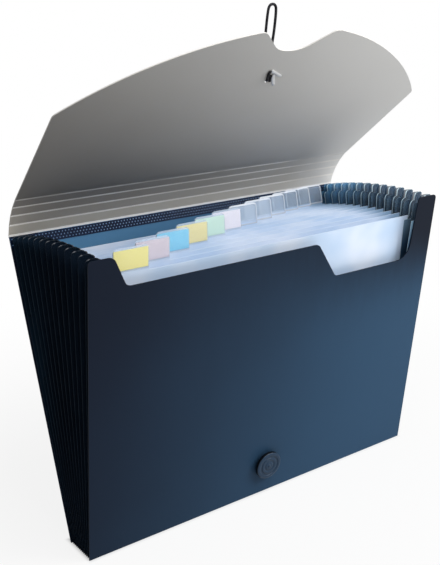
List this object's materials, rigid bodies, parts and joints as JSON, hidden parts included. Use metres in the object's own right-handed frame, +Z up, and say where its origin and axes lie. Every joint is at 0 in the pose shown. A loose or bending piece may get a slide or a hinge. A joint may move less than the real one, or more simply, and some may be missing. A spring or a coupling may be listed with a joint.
{
  "type": "accordion file folder",
  "caption": "Open accordion file folder: pleated plastic pockets between two stiff covers, tabbed dividers, a scored fold-over flap and an elastic loop with a button.",
  "frame": {"origin": "on the floor, under the middle of the whole outline", "axes": "+X to the right across the covers, +Y from the front cover to the back cover, +Z up"},
  "size_m": [0.33, 0.1536, 0.3964],
  "materials": {
    "navy_sheet": "satin",
    "seam_navy": "knurled satin",
    "smoke_flap": "satin",
    "frosted_sheet": "frosted",
    "pleat_film": "satin film",
    "button_navy": "moulded gloss",
    "black_elastic": "braided",
    "barb_steel": "bright",
    "yellow_paper": "uncoated",
    "lilac_paper": "uncoated",
    "blue_paper": "uncoated",
    "cream_paper": "uncoated",
    "green_paper": "uncoated",
    "white_paper": "uncoated"
  },
  "bodies": {
    "back_cover": {"back_cover": "navy_sheet", "weld_strip": "seam_navy", "pleat_13": "pleat_film"},
    "divider_12": {"divider_12": "frosted_sheet", "pleat_12": "pleat_film"},
    "divider_11": {"divider_11": "frosted_sheet", "pleat_11": "pleat_film"},
    "divider_10": {"divider_10": "frosted_sheet", "pleat_10": "pleat_film"},
    "divider_09": {"divider_09": "frosted_sheet", "pleat_09": "pleat_film"},
    "divider_08": {"divider_08": "frosted_sheet", "pleat_08": "pleat_film"},
    "divider_07": {"divider_07": "frosted_sheet", "pleat_07": "pleat_film"},
    "divider_06": {"divider_06": "frosted_sheet", "pleat_06": "pleat_film"},
    "divider_05": {"divider_05": "frosted_sheet", "pleat_05": "pleat_film"},
    "divider_04": {"divider_04": "frosted_sheet", "pleat_04": "pleat_film"},
    "divider_03": {"divider_03": "frosted_sheet", "pleat_03": "pleat_film"},
    "divider_02": {"divider_02": "frosted_sheet", "pleat_02": "pleat_film"},
    "divider_01": {"divider_01": "frosted_sheet", "pleat_01": "pleat_film"},
    "front_cover": {"front_cover": "navy_sheet", "closure_button": "button_navy", "button_washer": "button_navy"},
    "flap_band_1": {"flap_band_1": "smoke_flap"},
    "flap_band_2": {"flap_band_2": "smoke_flap"},
    "flap_band_3": {"flap_band_3": "smoke_flap"},
    "flap_band_4": {"flap_band_4": "smoke_flap"},
    "flap_panel": {"flap_panel": "smoke_flap", "elastic_loop": "black_elastic", "cord_barbs": "barb_steel"},
    "label_1": {"label_1": "yellow_paper"},
    "label_2": {"label_2": "lilac_paper"},
    "label_3": {"label_3": "blue_paper"},
    "label_4": {"label_4": "cream_paper"},
    "label_5": {"label_5": "green_paper"},
    "label_6": {"label_6": "white_paper"}
  },
  "joints": [
    {"name": "pocket_13_fold", "type": "hinge", "parent": "back_cover", "child": "divider_12", "pos_m": [0, 0.01239, 0], "axis": [-1, 0, 0], "range_deg": [0, 1.85], "deforming": ["pleat_13"]},
    {"name": "pocket_12_fold", "type": "hinge", "parent": "divider_12", "child": "divider_11", "pos_m": [0, 0.01001, 0], "axis": [-1, 0, 0], "range_deg": [0, 1.85], "deforming": ["pleat_12"]},
    {"name": "pocket_11_fold", "type": "hinge", "parent": "divider_11", "child": "divider_10", "pos_m": [0, 0.00762, 0], "axis": [-1, 0, 0], "range_deg": [0, 1.85], "deforming": ["pleat_11"]},
    {"name": "pocket_10_fold", "type": "hinge", "parent": "divider_10", "child": "divider_09", "pos_m": [0, 0.00524, 0], "axis": [-1, 0, 0], "range_deg": [0, 1.85], "deforming": ["pleat_10"]},
    {"name": "pocket_09_fold", "type": "hinge", "parent": "divider_09", "child": "divider_08", "pos_m": [0, 0.00285, 0], "axis": [-1, 0, 0], "range_deg": [0, 1.85], "deforming": ["pleat_09"]},
    {"name": "pocket_08_fold", "type": "hinge", "parent": "divider_08", "child": "divider_07", "pos_m": [0, 0.00047, 0], "axis": [-1, 0, 0], "range_deg": [0, 1.85], "deforming": ["pleat_08"]},
    {"name": "pocket_07_fold", "type": "hinge", "parent": "divider_07", "child": "divider_06", "pos_m": [0, -0.00192, 0], "axis": [-1, 0, 0], "range_deg": [0, 1.85], "deforming": ["pleat_07"]},
    {"name": "pocket_06_fold", "type": "hinge", "parent": "divider_06", "child": "divider_05", "pos_m": [0, -0.0043, 0], "axis": [-1, 0, 0], "range_deg": [0, 1.85], "deforming": ["pleat_06"]},
    {"name": "pocket_05_fold", "type": "hinge", "parent": "divider_05", "child": "divider_04", "pos_m": [0, -0.00669, 0], "axis": [-1, 0, 0], "range_deg": [0, 1.85], "deforming": ["pleat_05"]},
    {"name": "pocket_04_fold", "type": "hinge", "parent": "divider_04", "child": "divider_03", "pos_m": [0, -0.00907, 0], "axis": [-1, 0, 0], "range_deg": [0, 1.85], "deforming": ["pleat_04"]},
    {"name": "pocket_03_fold", "type": "hinge", "parent": "divider_03", "child": "divider_02", "pos_m": [0, -0.01145, 0], "axis": [-1, 0, 0], "range_deg": [0, 1.85], "deforming": ["pleat_03"]},
    {"name": "pocket_02_fold", "type": "hinge", "parent": "divider_02", "child": "divider_01", "pos_m": [0, -0.01384, 0], "axis": [-1, 0, 0], "range_deg": [0, 1.85], "deforming": ["pleat_02"]},
    {"name": "pocket_01_fold", "type": "hinge", "parent": "divider_01", "child": "front_cover", "pos_m": [0, -0.01622, 0], "axis": [-1, 0, 0], "range_deg": [0, 1.85], "deforming": ["pleat_01"]},
    {"name": "flap_crease_1", "type": "hinge", "parent": "back_cover", "child": "flap_band_1", "pos_m": [0, 0.0764, 0.23443], "axis": [1, 0, 0], "range_deg": [-46, 9]},
    {"name": "flap_crease_2", "type": "hinge", "parent": "flap_band_1", "child": "flap_band_2", "pos_m": [0, 0.07327, 0.24303], "axis": [1, 0, 0], "range_deg": [-46, 9]},
    {"name": "flap_crease_3", "type": "hinge", "parent": "flap_band_2", "child": "flap_band_3", "pos_m": [0, 0.06869, 0.25095], "axis": [1, 0, 0], "range_deg": [-46, 9]},
    {"name": "flap_crease_4", "type": "hinge", "parent": "flap_band_3", "child": "flap_band_4", "pos_m": [0, 0.06306, 0.25816], "axis": [1, 0, 0], "range_deg": [-46, 9]},
    {"name": "flap_crease_5", "type": "hinge", "parent": "flap_band_4", "child": "flap_panel", "pos_m": [0, 0.05659, 0.26463], "axis": [1, 0, 0], "range_deg": [-46, 9]},
    {"name": "label_1_slide", "type": "slide", "parent": "divider_01", "child": "label_1", "axis": [1, 0, 0], "range_m": [0, 0.024]},
    {"name": "label_2_slide", "type": "slide", "parent": "divider_02", "child": "label_2", "axis": [1, 0, 0], "range_m": [0, 0.024]},
    {"name": "label_3_slide", "type": "slide", "parent": "divider_03", "child": "label_3", "axis": [1, 0, 0], "range_m": [0, 0.024]},
    {"name": "label_4_slide", "type": "slide", "parent": "divider_04", "child": "label_4", "axis": [1, 0, 0], "range_m": [0, 0.024]},
    {"name": "label_5_slide", "type": "slide", "parent": "divider_05", "child": "label_5", "axis": [1, 0, 0], "range_m": [0, 0.024]},
    {"name": "label_6_slide", "type": "slide", "parent": "divider_06", "child": "label_6", "axis": [1, 0, 0], "range_m": [0, 0.024]}
  ],
  "couplings": [
    {"joint": "pocket_12_fold", "follows": "pocket_13_fold", "ratio": 1},
    {"joint": "pocket_11_fold", "follows": "pocket_13_fold", "ratio": 1},
    {"joint": "pocket_10_fold", "follows": "pocket_13_fold", "ratio": 1},
    {"joint": "pocket_09_fold", "follows": "pocket_13_fold", "ratio": 1},
    {"joint": "pocket_08_fold", "follows": "pocket_13_fold", "ratio": 1},
    {"joint": "pocket_07_fold", "follows": "pocket_13_fold", "ratio": 1},
    {"joint": "pocket_06_fold", "follows": "pocket_13_fold", "ratio": 1},
    {"joint": "pocket_05_fold", "follows": "pocket_13_fold", "ratio": 1},
    {"joint": "pocket_04_fold", "follows": "pocket_13_fold", "ratio": 1},
    {"joint": "pocket_03_fold", "follows": "pocket_13_fold", "ratio": 1},
    {"joint": "pocket_02_fold", "follows": "pocket_13_fold", "ratio": 1},
    {"joint": "pocket_01_fold", "follows": "pocket_13_fold", "ratio": 1}
  ]
}
